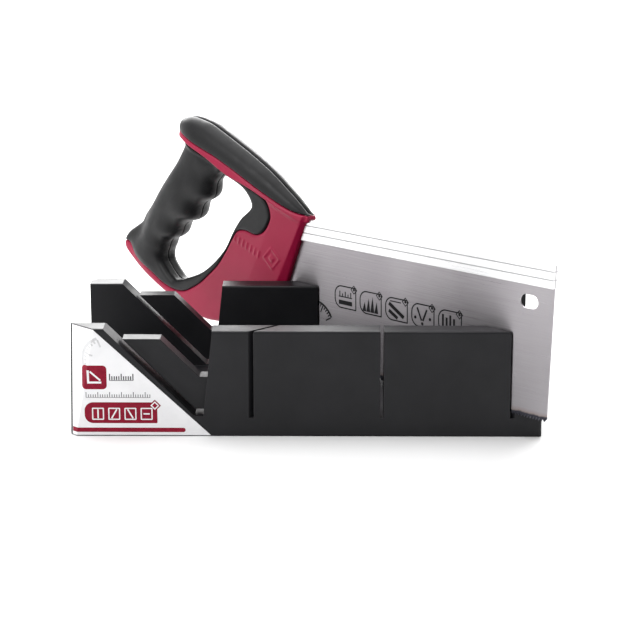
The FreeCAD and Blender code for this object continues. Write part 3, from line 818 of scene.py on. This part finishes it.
def sign_peaks(x, z):
    """Four pointed teeth of uneven height."""
    foot = z + 1.8
    marks = []
    for k, height in enumerate((6.5, 9.5, 11, 8)):
        at = x + 2.6 + 3.7 * k
        marks.append([(at, foot), (at + 3.65, foot), (at + 2.2, foot + height)])
    return marks


def sign_boards(x, z):
    """Two slanted boards under a line."""
    marks = bar(x + 3.5, z + 11.5, x + 17, z + 3.5, 2.6) + bar(x + 3.4, z + 6.6, x + 11.4, z + 2.2, 2.4)
    return marks + bar(x + 4.5, z + 13.2, x + 14.4, z + 13.2, 0.8)


def sign_fork(x, z):
    """Two strokes that lean together, and three dots."""
    marks = bar(x + 5.2, z + 13, x + 9.2, z + 4.6, 1.4)
    marks += bar(x + 13.8, z + 12.6, x + 10.3, z + 4.6, 1.4)
    for cx, cz in ((3.6, 6.2), (16.6, 6.6), (9.8, 2.6)):
        marks += disc(x + cx, z + cz, 1.1, 12)
    return marks


def sign_columns(x, z):
    """Four columns, of two heights in turn."""
    foot = z + 3.2
    marks = []
    for k, height in enumerate((9.5, 7.5, 9.5, 7.5)):
        at = x + 4.2 + 3.2 * k
        marks += bar(at, foot, at, foot + height, 1.7)
    return marks


def build_blade_marks():
    ink = print_ink("ink_black", (0.006, 0.006, 0.007), (0.014, 0.014, 0.016), 0.5)
    marks = []
    for i, sign in enumerate((sign_comb, sign_peaks, sign_boards, sign_fork, sign_columns)):
        x = SIGN_FIRST[0] + SIGN_STEP[0] * i
        z = SIGN_FIRST[1] + SIGN_STEP[1] * i
        marks += sign_frame(x, z) + sign(x, z)
    marks += protractor(-178, 27, 12.0, 19.0, 28, 84, 8, 1.0)
    printed("blade_marks", marks, on_blade, ink, "saw")


# ------------------------------------------------------------------ floor, lights, camera
FLOOR_SIZE = 16
FLOOR_DROP = 0.0002
# The white surroundings grow brighter towards this side: the span between, then the two strengths.
WORLD_SIDE = (-0.7, 0.71, 0)
WORLD_FADE = (-0.9, 0.9, 0.28, 1.1)
# Each lamp's place, target and size in metres, and its power in watts.
LAMPS = {
    "back_glow": ((0.2, 3.4, 1.6), (0, 0, 0.08), (5.5, 2.1), 270),
    "top_soft": ((-0.2, 0.1, 1.5), (0, 0, 0.05), (1.6, 1.4), 16),
    "left_key": ((-1.3, -0.7, 0.9), (0, 0, 0.08), (0.8, 0.8), 9),
}
# Solved from the box's corners in the photograph.
CAMERA_AT = (0.016, -1.280, 0.388)
CAMERA_DOWN, CAMERA_TURN = 14.30, 0.48
CAMERA_LENS, CAMERA_SENSOR = 113.8, 36


def area_light(name, place, target, size, power):
    data = bpy.data.lights.new(name, "AREA")
    data.shape = "RECTANGLE"
    data.size, data.size_y = size
    data.energy = power
    lamp = bpy.data.objects.new(name, data)
    lamp.location = place
    lamp.rotation_euler = (Vector(target) - Vector(place)).to_track_quat("-Z", "Y").to_euler()
    lamp.visible_camera = False
    bpy.context.scene.collection.objects.link(lamp)


def build_stage():
    bpy.ops.mesh.primitive_plane_add(size=FLOOR_SIZE, location=(0, 0, -FLOOR_DROP))
    floor = bpy.context.object
    floor.name = "floor"
    floor.data.materials.append(floor_paint())
    world = bpy.data.worlds.new("studio")
    bpy.context.scene.world = world
    world.use_nodes = True
    tree = world.node_tree
    tree.nodes["Background"].inputs["Color"].default_value = (1, 1, 1, 1)
    side = tree.nodes.new("ShaderNodeVectorMath")
    side.operation = "DOT_PRODUCT"
    side.inputs[1].default_value = WORLD_SIDE
    fade = tree.nodes.new("ShaderNodeMapRange")
    tree.links.new(tree.nodes.new("ShaderNodeTexCoord").outputs["Generated"], side.inputs[0])
    tree.links.new(side.outputs["Value"], fade.inputs["Value"])
    for socket, number in zip(RANGE_SOCKETS, WORLD_FADE):
        fade.inputs[socket].default_value = number
    tree.links.new(fade.outputs["Result"], tree.nodes["Background"].inputs["Strength"])
    for name, facts in LAMPS.items():
        area_light(name, *facts)
    bpy.context.scene.view_settings.view_transform = "Standard"


def build_camera():
    data = bpy.data.cameras.new("camera")
    data.sensor_width = CAMERA_SENSOR
    data.lens = CAMERA_LENS
    camera = bpy.data.objects.new("camera", data)
    camera.location = CAMERA_AT
    camera.rotation_euler = (math.radians(90 - CAMERA_DOWN), 0, math.radians(CAMERA_TURN))
    bpy.context.scene.collection.objects.link(camera)
    bpy.context.scene.camera = camera


repaint("mitre_box", box_plastic())
repaint("box_label", label_film())
repaint("saw_blade", blade_steel())
repaint("blade_back", back_aluminium())
repaint("tang_pins", blade_steel())
build_handle()
build_label()
build_blade_marks()
build_stage()
build_camera()
